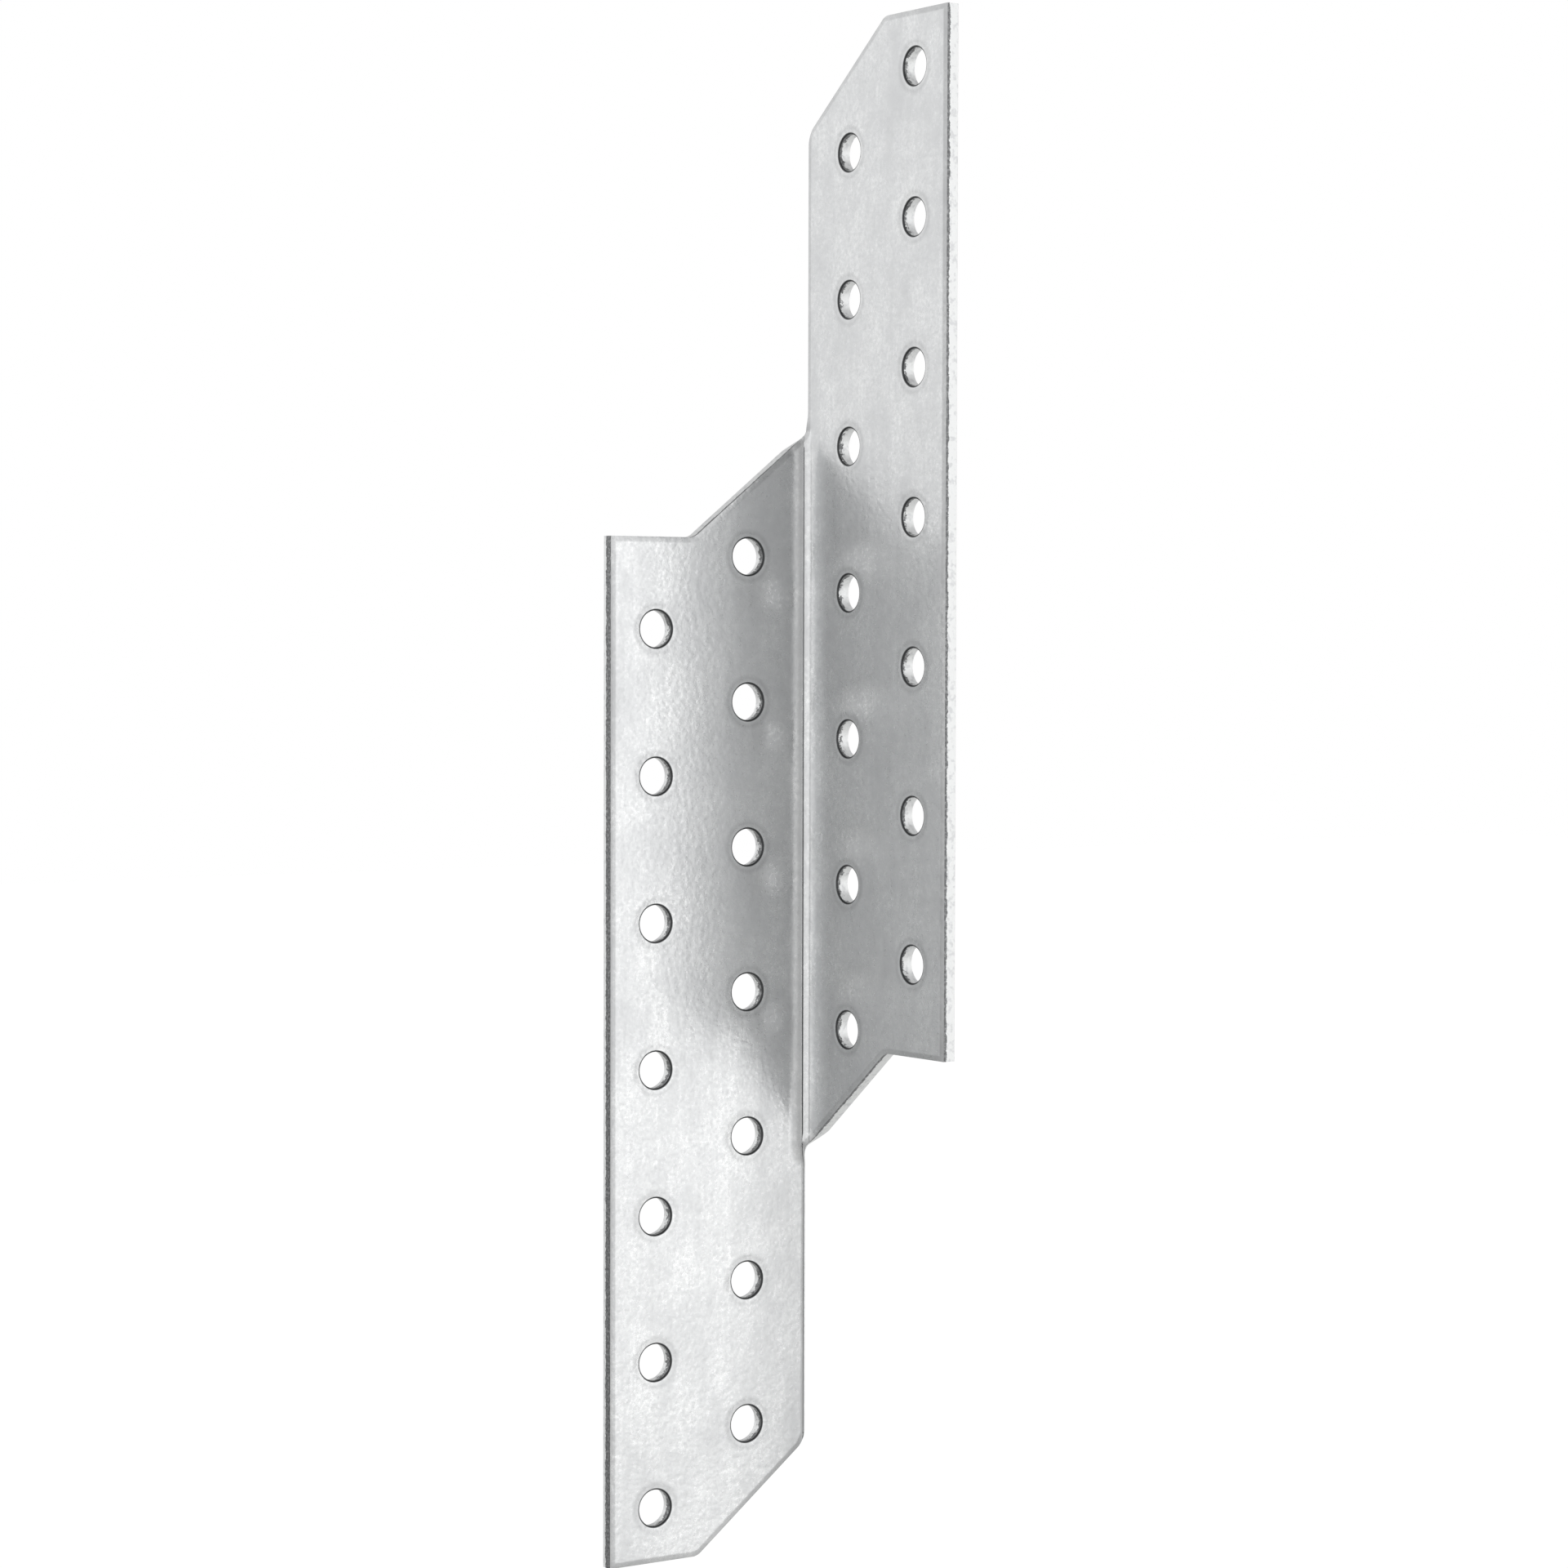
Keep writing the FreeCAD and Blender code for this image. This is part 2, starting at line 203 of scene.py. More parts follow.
class AnchorSizes(PropertyGroup):
    """Sizes of the folded sheet."""

    overall: length(CAD_HIGH.z - CAD_LOW.z, "Overall length", "From the lower tip to the upper one")
    leaf: length(0.140, "Leaf length", "From a leaf's tip to its root edge")
    width: length(CAD_HIGH.x - CAD_LOW.x, "Leaf width", "From one leaf's outer face to the other's long edge")
    thickness: length(0.0020, "Sheet and burr", "Sheet with the burr that stands on its outer face")
    burr: length(0.00005, "Burr", "Height of the burr that the punches leave")
    bend: length(0.0030, "Bend radius", "Inner radius of the fold")
    neutral: share(0.44, "Neutral share", "Depth of the unstretched layer from the inner face")
    root_flat: length(0.0134, "Root edge", "Straight part of a leaf's root edge")
    root_rise: length(0.0146, "Root rise", "How far the slanted root edge runs along the fold")
    tip_flat: length(0.0141, "Tip edge", "Straight part of a leaf's tip")
    tip_rise: length(0.0141, "Tip rise", "How far the slanted tip runs along the fold")
    root_round: length(0.0020, "Root corner", "Radius of the inner corner of the root edge")
    tip_round: length(0.0020, "Tip corner", "Radius between the tip and its slant")
    border_round: length(0.0030, "Border corner", "Radius between the tip's slant and the border")
    notch_round: length(0.0009, "Notch corner", "Radius where one leaf's root meets the other's border")
    fade: length(0.0030, "Fold run-out", "Length over which the fold dies out in a border")
    crease: length(0.00036, "Crease width", "Width of each of the two fine grooves along the fold")
    crease_depth: length(0.00009, "Crease depth", "Depth of the first groove")
    second_crease: share(0.5, "Second crease", "Depth of the second groove as a share of the first one's")
    crease_stop: length(0.0020, "Crease stop", "How far before the fold's end the grooves stop")
    edge_roll: length(0.00085, "Rolled edge", "Width of the drawn-in edge round the outline")
    roll_flatness: share(0.15, "Roll flatness", "Depth of the drawn-in edge as a share of its width")
    edge_break: length(0.00006, "Broken edge", "Width of the broken edge on the outer side")
    rim_wear: share(0.18, "Rim wear", "How far the zinc is rubbed off the tips and roots")
    long_edge_wear: share(0.28, "Long edge wear", "How far it is rubbed off the long edges")
    land_deep: length(0.00132, "Deep land", "Depth to which the purlin leaf's long edge is burnished")
    land_thin: length(0.00055, "Thin land", "Depth to which the other edges of the outline are burnished")
    hole: length(0.0050, "Nail hole", "Diameter of a hole at its burnished land")
    pitch: length(0.0200, "Hole pitch", "Distance between holes of one column")
    stagger: length(0.0100, "Hole stagger", "How much further from the tip the inner column starts")
    tip_margin: length(0.0075, "Tip margin", "From the tip to the first hole")
    edge_margin: length(0.0072, "Edge margin", "From the long edge to the outer column")
    column_gap: length(0.0150, "Column gap", "Distance between the two columns")
    per_column: IntProperty(name="Holes in a column", description="Holes in each column", default=7, min=1)


class PunchSizes(PropertyGroup):
    """Shape of the wall that the punch leaves in a nail hole."""

    cell: length(0.0084, "Cell", "Side of the square of sheet that is modelled with each hole")
    dish: length(0.0039, "Dish radius", "Reach of the shallow dish round the mouth")
    dish_depth: length(0.00004, "Dish depth", "Depth of the dish at the mouth")
    dish_wear: share(0.15, "Dish wear", "How far the zinc is rubbed off in the middle of the dish")
    flare: length(0.00028, "Mouth width", "Width of the rolled mouth")
    roll: length(0.00024, "Mouth depth", "Depth of the rolled mouth")
    land_end: length(0.00078, "Land end", "Mean depth at which the burnished land gives way to the torn zone")
    land_lean: length(0.00026, "Land lean", "How much deeper than its mean the land is on one side")
    break_out: length(0.00012, "Break-out", "How much wider than its land a hole is at the outer face")
    collar: length(0.0032, "Collar radius", "Reach of the sheet that the burr lifts on the outer face")
    tear: length(0.00016, "Tear", "Unevenness of the torn zone")
    wave: length(0.00012, "Land wave", "Unevenness of the land's end")
    around: IntProperty(name="Steps round a hole", description="Faces round a hole", default=64, min=16)


class AnchorFinish(PropertyGroup):
    """Colours and gloss of the sheet, and how much painted shade darkens it beside the fold."""

    zinc: colour("#EAEBEB", "Zinc", "Colour of the zinc coat")
    zinc_dull: colour("#D1D2D3", "Dulled zinc", "Colour of the coat's duller patches")
    pitted: colour("#D4D5D6", "Pitted zinc", "Colour of the small hollows between the rolled grains")
    # One dark colour for the real wear of the coat and for the painted shade in the creases and beside the
    # fold.
    worn: colour("#454647", "Rubbed zinc and painted shade", "Colour of the thinned coat on rolled rims, and of the painted shade in the creases and beside the fold")
    land: colour("#696A6B", "Burnished steel", "Colour of the burnished land of a sheared edge")
    land_smeared: colour("#A6A7A8", "Smeared zinc", "Colour of the zinc that the cut smears over the land")
    # Painted shade: how far a band of the purlin leaf beside the fold is darkened towards the dark zinc
    # colour.
    painted_fold_shade: share(0.2, "Painted fold shade", "How much painted shade darkens the purlin leaf beside the fold")
    torn: colour("#ECEDED", "Torn steel", "Colour of the torn zone of a sheared edge")
    torn_dull: colour("#DADBDC", "Dull torn steel", "Colour of the duller patches in the torn zone")
    zinc_gloss: share(0.29, "Zinc roughness", "Roughness of the coat")
    gloss_less: share(0.05, "Smoother spots", "How much less rough its smoothest spots are")
    gloss_more: share(0.1, "Rougher spots", "How much rougher its roughest spots are")
    land_gloss: share(0.32, "Land roughness", "Roughness of the burnished land")
    torn_gloss: share(0.48, "Torn roughness", "Roughness of the torn zone")


class StudioSizes(PropertyGroup):
    """Camera, floor and light."""

    lens: FloatProperty(
        name="Lens", description="Focal length in millimetres", default=91.74, subtype="DISTANCE_CAMERA"
    )
    eye: FloatVectorProperty(
        name="Camera place",
        description="Where the camera stands",
        default=(-0.31854, -0.45889, 0.02097),
        unit="LENGTH",
    )
    heading: angle(34.392, "Camera heading", "Turn from +Y towards +X")
    tilt: angle(-2.057, "Camera tilt", "Tilt above the horizon")
    roll: angle(0.137, "Camera roll", "Turn about the view")
    floor_side: length(12.0, "Floor side", "Side of the square floor")
    drop: length(0.300, "Floor drop", "From the anchor's lower tip down to the floor")
    paint: colour("#F4F4F3", "Floor paint", "Colour of the floor")
    white: colour("#FFFFFF", "White", "Colour of the surround and of the lit floor")
    floor_white: share(0.85, "Floor white", "How much of the floor the camera sees as lit white")
    floor_glow: brightness(1.1, "Floor glow", "Brightness of that white")
    surround: brightness(0.6, "Surround", "Brightness of the surround in front, as the metal mirrors it")
    backdrop: brightness(1.02, "Backdrop", "Brightness of the backdrop, as the metal mirrors it")
    backdrop_heading: angle(-135, "Backdrop heading", "Turn from -Y towards +X")
    lamp_distance: length(1.2, "Lamp distance", "From the anchor's middle to each soft box")


class Flat:
    """Sizes of the flat strip in millimetres, with the lengths that follow from them."""

    def __init__(self, sizes):
        for name in sizes.bl_rna.properties.keys():
            if name not in ("rna_type", "name"):
                value = getattr(sizes, name)
                setattr(self, name, value if name in PLAIN else value * METRE)
        self.tip = self.overall / 2
        self.sheet = self.thickness - self.burr
        self.roll_depth = self.edge_roll * self.roll_flatness
        self.hollow_face = -self.thickness
        self.outer_face = -self.burr
        self.tangent = self.thickness + self.bend
        self.neutral_depth = self.thickness * (1 - self.neutral)
        self.neutral_radius = self.tangent - self.neutral_depth
        self.half_bend = math.pi / 4 * self.neutral_radius
        self.fold_line = self.half_bend - self.tangent
        self.root = self.leaf - self.tip
        self.fold_end = self.root + self.root_rise
        self.fade_end = self.fold_end + self.fade
        self.strip = self.half_bend / BEND_STRIPS
        first = self.fold_line + FIRST_CREASE * self.strip
        second = self.fold_line + SECOND_CREASE * self.strip
        self.creases = ((first, 1.0), (second, self.second_crease))

    @property
    def root_slope(self):
        """Rise of the slanted root edge for each millimetre towards the fold."""
        return self.root_rise / (self.width - self.root_flat + self.fold_line)

    def hole_places(self):
        """Centres of one leaf's holes, across and along the strip."""
        outer = -(self.width - self.edge_margin)
        first = -(self.tip - self.tip_margin)
        for step in range(self.per_column):
            yield outer, first + step * self.pitch
            yield outer + self.column_gap, first + self.stagger + step * self.pitch


def alone(thing):
    """Make this the only selected thing."""
    for other in bpy.context.selected_objects:
        other.select_set(False)
    thing.select_set(True)
    bpy.context.view_layer.objects.active = thing


def edit(thing):
    """Open the thing's mesh for editing."""
    alone(thing)
    bpy.ops.object.mode_set(mode="EDIT")
    bpy.ops.mesh.select_mode(type="VERT")


def leave():
    """Close the mesh that is open."""
    bpy.ops.object.mode_set(mode="OBJECT")


def pick(thing, kind, wanted):
    """Select the vertices, edges or faces of the open mesh that pass a test, of which there must be some."""
    bpy.ops.mesh.select_mode(type=kind)
    bpy.ops.mesh.select_all(action="DESELECT")
    net = bmesh.from_edit_mesh(thing.data)
    pool = {"VERT": net.verts, "EDGE": net.edges, "FACE": net.faces}[kind]
    found = [item for item in pool if wanted(item)]
    for item in found:
        item.select_set(True)
    net.select_flush_mode()
    bmesh.update_edit_mesh(thing.data)
    if not found:
        raise RuntimeError(f"{thing.name} has no such {kind.lower()}")


def middle(item):
    """Middle of an edge or face."""
    return sum((corner.co for corner in item.verts), Vector()) / len(item.verts)


def slice_at(thing, place, normal, wanted=None):
    """Cut the open mesh, or the faces that pass a test, along a plane."""
    if wanted is None:
        bpy.ops.mesh.select_all(action="SELECT")
    else:
        pick(thing, "FACE", wanted)
    bpy.ops.mesh.bisect(plane_co=place, plane_no=normal, threshold=NEAR / 10)


def draw_leaf(flat):
    """Flat outline of one leaf, from its long edge to the line of the fold."""
    root_cut = -(flat.width - flat.root_flat)
    tip_cut = -(flat.width - flat.tip_flat)
    wide = flat.width + root_cut
    bpy.ops.mesh.primitive_plane_add(size=1, rotation=(math.pi / 2, 0, 0))
    leaf = bpy.context.object
    leaf.scale = (wide, flat.leaf, 1)
    leaf.location = (root_cut - wide / 2, flat.hollow_face, flat.root - flat.leaf / 2)
    bpy.ops.object.transform_apply(location=True, rotation=True, scale=True)
    edit(leaf)
    stations = [(root_cut, 0, 0), (tip_cut, 0, flat.root_slope * (tip_cut - root_cut))]
    stations.append((flat.fold_line, flat.tip_rise, flat.root_rise - stations[-1][2]))
    for (start, _, _), (stop, low, high) in zip(stations, stations[1:]):
        pick(leaf, "EDGE", lambda edge: all(abs(end.co.x - start) < NEAR for end in edge.verts))
        bpy.ops.mesh.extrude_edges_move(TRANSFORM_OT_translate={"value": (stop - start, 0, 0)})
        for rise, upper in ((high, True), (low, False)):
            if rise:
                pick(leaf, "VERT", lambda spot: abs(spot.co.x - stop) < NEAR and (spot.co.z > 0) is upper)
                bpy.ops.transform.translate(value=(0, 0, rise))
    slice_at(leaf, (0, 0, -flat.fold_end), (0, 0, 1))
    leave()
    return leaf


def round_corner(thing, across, along, radius):
    """Round a corner of the flat outline."""

    def is_there(spot):
        return math.hypot(spot.co.x - across, spot.co.z - along) < NEAR

    pick(thing, "VERT", is_there)
    net = bmesh.from_edit_mesh(thing.data)
    corner = next(spot for spot in net.verts if is_there(spot))
    arms = [edge.other_vert(corner).co - corner.co for edge in corner.link_edges]
    reach = radius / math.tan(arms[0].angle(arms[1]) / 2)
    bpy.ops.mesh.bevel(offset=reach, segments=CORNER_STEPS, profile=CORNER_PROFILE, affect="VERTICES")


def dissolve_flat():
    """Join what lies in one plane and drop the points on straight edges."""
    bpy.ops.mesh.select_all(action="SELECT")
    bpy.ops.mesh.dissolve_limited(angle_limit=FLAT_ANGLE)


def cut_blank(flat, coats):
    """Flat strip of both leaves with rounded corners, rolled rims and the lines that the fold needs."""
    blank = draw_leaf(flat)
    blank.name = "anchor_sheet"
    for coat in coats:
        blank.data.materials.append(coat)
    bpy.ops.object.duplicate()
    pivot = (flat.fold_line, flat.hollow_face, 0)
    bpy.ops.transform.rotate(value=math.pi, orient_axis="Y", center_override=pivot)
    blank.select_set(True)
    bpy.context.view_layer.objects.active = blank
    bpy.ops.object.join()
    bpy.ops.object.transform_apply(location=True, rotation=True, scale=True)
    edit(blank)
    bpy.ops.mesh.select_all(action="SELECT")
    bpy.ops.mesh.remove_doubles(threshold=NEAR)
    dissolve_flat()
    corners = [
        (-(flat.width - flat.root_flat), flat.root, flat.root_round),
        (-(flat.width - flat.tip_flat), -flat.tip, flat.tip_round),
        (flat.fold_line, flat.tip_rise - flat.tip, flat.border_round),
        (flat.fold_line, flat.fold_end, flat.notch_round),
    ]
    for across, along, radius in corners:
        round_corner(blank, across, along, radius)
        round_corner(blank, 2 * flat.fold_line - across, -along, radius)
    bpy.ops.mesh.select_all(action="SELECT")
    bpy.ops.mesh.extrude_region_move(TRANSFORM_OT_translate={"value": (0, flat.sheet, 0)})
    bpy.ops.mesh.select_all(action="SELECT")
    bpy.ops.mesh.normals_make_consistent(inside=False)
    rims = (
        (flat.hollow_face, flat.edge_roll, ROLL_STEPS),
        (flat.outer_face, flat.edge_break, BREAK_STEPS),
    )
    for face, width, steps in rims:
        pick(blank, "EDGE", lambda edge: all(abs(end.co.y - face) < NEAR for end in edge.verts))
        bpy.ops.mesh.bevel(offset=width, segments=steps, profile=ROLL_PROFILE, affect="EDGES")
    pick(blank, "VERT", lambda spot: NEAR < spot.co.y - flat.hollow_face < flat.edge_roll + NEAR)
    bpy.ops.transform.resize(value=(1, flat.roll_flatness, 1), center_override=(0, flat.hollow_face, 0))
    mark_sheared(blank, flat)
    lay_fold_lines(blank, flat)
    leave()
    note_outline(blank, flat)
    return blank


def mark_sheared(blank, flat):
    """Give the sheared walls of the outline their own material slot."""
    roll_end = flat.hollow_face + flat.roll_depth

    def is_wall(face):
        return abs(face.normal.y) < STEEP and middle(face).y > roll_end

    pick(blank, "FACE", is_wall)
    blank.active_material_index = SHEARED_SLOT
    bpy.ops.object.material_slot_assign()


def lay_fold_lines(blank, flat):
    """Divide the part of the strip that is bent, finely enough to turn smoothly, and crease it."""
    for step in range(-BEND_STRIPS, BEND_STRIPS + 1):
        slice_at(blank, (flat.fold_line + flat.strip * step, 0, 0), (1, 0, 0))

    def is_bent(face):
        return abs(middle(face).x - flat.fold_line) < flat.half_bend

    for step in range(FADE_STEPS + 1):
        along = flat.fold_end + flat.fade * step / FADE_STEPS
        slice_at(blank, (0, 0, along), (0, 0, 1), is_bent)
        slice_at(blank, (0, 0, -along), (0, 0, 1), is_bent)
    sink_creases(blank, flat, is_bent)


def sink_creases(blank, flat, is_bent):
    """Press the two fine grooves of the bending tool's nose into the hollow side, along the fold."""
    reach = flat.fold_end - flat.crease_stop
    for side in (-1, 1):
        slice_at(blank, (0, 0, side * reach), (0, 0, 1), is_bent)
    for line, depth in flat.creases:
        for shift in (-flat.crease / 2, 0, flat.crease / 2):
            slice_at(blank, (line + shift, 0, 0), (1, 0, 0), is_bent)

        def on_line(spot):
            on_face = abs(spot.co.y - flat.hollow_face) < NEAR
            return on_face and abs(spot.co.x - line) < NEAR and abs(spot.co.z) < reach + NEAR

        pick(blank, "VERT", on_line)
        bpy.ops.transform.translate(value=(0, flat.crease_depth * depth, 0))


def punch_profile(flat, punch):
    """Section of a hole, from the dish to the outer face, as radii and depths below the hollow face."""
    radius = flat.hole / 2
    mouth = radius + punch.flare * METRE
    dish = punch.dish * METRE
    sunk = punch.dish_depth * METRE
    roll = punch.roll * METRE
    land_end = punch.land_end * METRE
    break_out = punch.break_out * METRE
    spots = []
    for step in range(DISH_STEPS):
        part = step / DISH_STEPS
        spots.append((dish + (mouth - dish) * part, sunk * part * part))
    for step in range(MOUTH_STEPS + 1):
        turn = math.pi / 2 * step / MOUTH_STEPS
        out = mouth - (mouth - radius) * math.sin(turn)
        spots.append((out, sunk + (roll - sunk) * (1 - math.cos(turn))))
    spots.append((radius, (roll + land_end) / 2))
    spots.append((radius, land_end))
    torn_depth = flat.sheet - land_end
    for step in range(1, TORN_STEPS + 1):
        part = step / TORN_STEPS
        spots.append((radius + break_out * part**TORN_POWER, land_end + torn_depth * part))
    return spots


def draw_rings(tile, level, side, around, spots):
    """Draw the sheet from an open square inwards, ring by ring, through each radius and height."""

    def on_square(edge):
        return edge.is_wire and all(abs(end.co.y - level) < NEAR for end in edge.verts)

    bpy.ops.mesh.select_all(action="DESELECT")
    bpy.ops.mesh.primitive_plane_add(size=side, location=(0, level, 0), rotation=(math.pi / 2, 0, 0))
    bpy.ops.mesh.delete(type="ONLY_FACE")
    pick(tile, "EDGE", on_square)
    bpy.ops.mesh.subdivide(number_cuts=around // 4 - 1)
    pick(tile, "EDGE", on_square)
    for place, (out, height) in enumerate(spots):
        bpy.ops.mesh.extrude_edges_move()
        if place == 0:
            bpy.ops.transform.tosphere(value=1.0)
        net = bmesh.from_edit_mesh(tile.data)
        ring = [spot.co for spot in net.verts if spot.select]
        reach = sum(math.hypot(co.x, co.z) for co in ring) / len(ring)
        rise = height - sum(co.y for co in ring) / len(ring)
        bpy.ops.transform.translate(value=(0, rise, 0))
        bpy.ops.transform.resize(value=(out / reach, 1, out / reach), center_override=(0, height, 0))


def make_tile(flat, punch, coats):
    """Square of sheet with one punched hole, at the origin."""
    section = punch_profile(flat, punch)
    wall_end = section[-1][0]
    collar = punch.collar * METRE
    side = punch.cell * METRE
    bpy.ops.object.add(type="MESH")
    tile = bpy.context.object
    tile.name = "punched_tile"
    for coat in coats:
        tile.data.materials.append(coat)
    edit(tile)
    front = [(out, flat.hollow_face + depth) for out, depth in section]
    back = [(out, flat.outer_face) for out in (collar, (collar + wall_end) / 2, wall_end)]
    draw_rings(tile, flat.hollow_face, side, punch.around, front)
    draw_rings(tile, flat.outer_face, side, punch.around, back)
    bpy.ops.mesh.select_all(action="SELECT")
    bpy.ops.mesh.remove_doubles(threshold=NEAR / 10)
    leave()
    mark_wall(tile, flat, punch)
    lean_land(tile, flat, punch, section)
    note_tile(tile, flat, punch)
    return tile


def lean_land(tile, flat, punch, spots):
    """Tilt the rings of the wall, because the punch stood a little off the middle of its die."""
    roll = punch.roll * METRE
    land_end = punch.land_end * METRE
    wall = flat.hole / 2 + punch.break_out * METRE + NEAR
    edit(tile)
    for out, depth in spots:
        if out > wall or not roll + NEAR < depth < flat.sheet - NEAR:
            continue
        if depth <= land_end:
            portion = (depth - roll) / (land_end - roll)
        else:
            portion = (flat.sheet - depth) / (flat.sheet - land_end)
        level = flat.hollow_face + depth
        turn = math.asin(punch.land_lean * METRE * portion / out)

        def on_ring(spot):
            return abs(spot.co.y - level) < NEAR / 10 and math.hypot(spot.co.x, spot.co.z) < wall

        pick(tile, "VERT", on_ring)
        bpy.ops.transform.rotate(value=turn, orient_axis="Z", center_override=(0, level, 0))
        bpy.ops.transform.resize(value=(1 / math.cos(turn), 1, 1), center_override=(0, level, 0))
    leave()


def mark_wall(tile, flat, punch):
    """Slots and vertex groups of the hole's wall: land, torn zone, land's end and burr."""
    roll_end = punch.roll * METRE
    land_end = punch.land_end * METRE
    wall = flat.hole / 2 + punch.break_out * METRE + NEAR
    for face in tile.data.polygons:
        depth = face.center.y - flat.hollow_face
        out = math.hypot(face.center.x, face.center.z)
        face.material_index = SHEARED_SLOT if depth > roll_end and out < wall else ZINC_SLOT
    groups = {name: tile.vertex_groups.new(name=name) for name in ("torn", "land_line", "burr")}
    for spot in tile.data.vertices:
        depth = spot.co.y - flat.hollow_face
        if math.hypot(spot.co.x, spot.co.z) > wall:
            continue
        if abs(depth - land_end) < NEAR:
            groups["land_line"].add([spot.index], 1.0, "REPLACE")
        if abs(depth - flat.sheet) < NEAR:
            groups["burr"].add([spot.index], 1.0, "REPLACE")
        elif depth > land_end + NEAR:
            groups["torn"].add([spot.index], 1.0, "REPLACE")


def note_tile(tile, flat, punch):
    """Torn share of the wall beyond its leaning land, and wear of the mouth and of the dish round it."""
    group = tile.vertex_groups["land_line"].index
    line = [spot.co for spot in tile.data.vertices if any(item.group == group for item in spot.groups)]
    east = max(line, key=lambda place: place.x)
    west = min(line, key=lambda place: place.x)
    lean = (east.y - west.y) / (east.x - west.x)
    land_middle = (east.y + west.y) / 2
    mouth = flat.hole / 2 + punch.flare * METRE
    ring = (punch.dish * METRE + mouth) / 2
    ring_half = punch.dish * METRE - ring
    sunk = punch.dish_depth * METRE
    roll_end = punch.roll * METRE
    torn = []
    worn = []
    for spot in tile.data.vertices:
        depth = spot.co.y - flat.hollow_face
        out = math.hypot(spot.co.x, spot.co.z)
        torn.append(torn_at(spot.co.y - land_middle - lean * spot.co.x, HOLE_TORN_SPAN))
        if depth > flat.sheet / 2:
            worn.append(0.0)
        elif out < mouth - NEAR:
            worn.append(wear_at((depth - sunk) / (roll_end - sunk)))
        else:
            worn.append(punch.dish_wear * max(0.0, 1 - abs(out - ring) / ring_half))
    note_shares(tile, torn, worn)


def open_cells(blank, flat, punch):
    """Take a square of sheet out of both faces of the strip round each hole."""
    half = punch.cell * METRE / 2
    places = list(flat.hole_places())
    mirrored = [(2 * flat.fold_line - across, -along) for across, along in places]
    near_tangent = flat.fold_line - flat.half_bend
    far_tangent = flat.fold_line + flat.half_bend
    leaves = [
        (places, lambda face: middle(face).x < near_tangent),
        (mirrored, lambda face: middle(face).x > far_tangent),
    ]
    edit(blank)
    for spots, on_leaf in leaves:
        acrosses = sorted({round(across, 4) for across, _ in spots})
        alongs = sorted({round(along, 4) for _, along in spots})
        for across in acrosses:
            slice_at(blank, (across - half, 0, 0), (1, 0, 0), on_leaf)
            slice_at(blank, (across + half, 0, 0), (1, 0, 0), on_leaf)
        for along in alongs:
            slice_at(blank, (0, 0, along - half), (0, 0, 1), on_leaf)
            slice_at(blank, (0, 0, along + half), (0, 0, 1), on_leaf)

    def is_cell(face):
        spot = middle(face)
        return abs(face.normal.y) > STEEP and any(
            abs(spot.x - across) < half and abs(spot.z - along) < half for across, along in places + mirrored
        )

    pick(blank, "FACE", is_cell)
    bpy.ops.mesh.delete(type="ONLY_FACE")
    pick(blank, "EDGE", lambda edge: edge.is_boundary)
    bpy.ops.mesh.subdivide(number_cuts=punch.around // 4 - 1, ngon=True)
    leave()
    return places + mirrored


def cloud(name, size, basis):
    """Soft noise of this basis whose grains are about this many millimetres wide."""
    texture = bpy.data.textures.new(name, "CLOUDS")
    texture.noise_scale = size
    texture.noise_depth = 2
    texture.noise_basis = basis
    return texture


def displace(thing, group, texture, direction, strength, level=0.5):
    """Move a vertex group by a noise and keep the result."""
    alone(thing)
    modifier = thing.modifiers.new(group, "DISPLACE")
    modifier.vertex_group = group
    modifier.texture = texture
    modifier.texture_coords = "LOCAL"
    modifier.direction = direction
    modifier.strength = strength
    modifier.mid_level = level
    bpy.ops.object.modifier_apply(modifier=modifier.name)


def punch_holes(blank, flat, punch, coats):
    """Set a punched square of sheet into each opening, every hole with its own torn wall."""
    places = open_cells(blank, flat, punch)
    tile = make_tile(flat, punch, coats)
    copies = []
    for across, along in places:
        alone(tile)
        bpy.ops.object.duplicate()
        copy = bpy.context.object
        copy.location = (across, 0, along)
        copies.append(copy)
    bpy.data.objects.remove(tile)
    alone(copies[0])
    for copy in copies:
        copy.select_set(True)
    bpy.ops.object.join()
    holes = bpy.context.object
    bpy.ops.object.transform_apply(location=True, rotation=True, scale=True)
    grain = cloud("torn_grain", TEAR_GRAIN, "IMPROVED_PERLIN")
    displace(holes, "torn", grain, "NORMAL", punch.tear * METRE)
    wave = cloud("land_wave", WAVE_GRAIN, "BLENDER_ORIGINAL")
    displace(holes, "land_line", wave, "Y", punch.wave * METRE)
    rise = cloud("burr_height", BURR_GRAIN, "IMPROVED_PERLIN")
    displace(holes, "burr", rise, "Y", flat.burr * BURR_SHARE, level=0.0)
    blank.select_set(True)
    bpy.context.view_layer.objects.active = blank
    bpy.ops.object.join()
    edit(blank)
    bpy.ops.mesh.select_all(action="SELECT")
    bpy.ops.mesh.remove_doubles(threshold=NEAR / 2)
    bpy.ops.mesh.select_all(action="SELECT")
    bpy.ops.mesh.normals_make_consistent(inside=False)
    leave()


def note_shares(thing, torn, worn):
    """Keep for each point how far its sheared wall is torn, and how far its zinc is worn or darkened by
    painted shade.
    """
    for name, shares in ((TORN_NAME, torn), (WEAR_AND_SHADE_NAME, worn)):
        thing.data.attributes.new(name, "FLOAT", "POINT").data.foreach_set("value", shares)


def wear_at(portion):
    """Wear of a rolled edge at this portion of its depth: it soon reaches its full value."""
    return min(1.0, WEAR_RISE * math.sqrt(max(0.0, portion)))


def torn_at(beyond, span):
    """Torn share of a sheared wall this far beyond the end of its burnished land."""
    return 0.5 + beyond / span


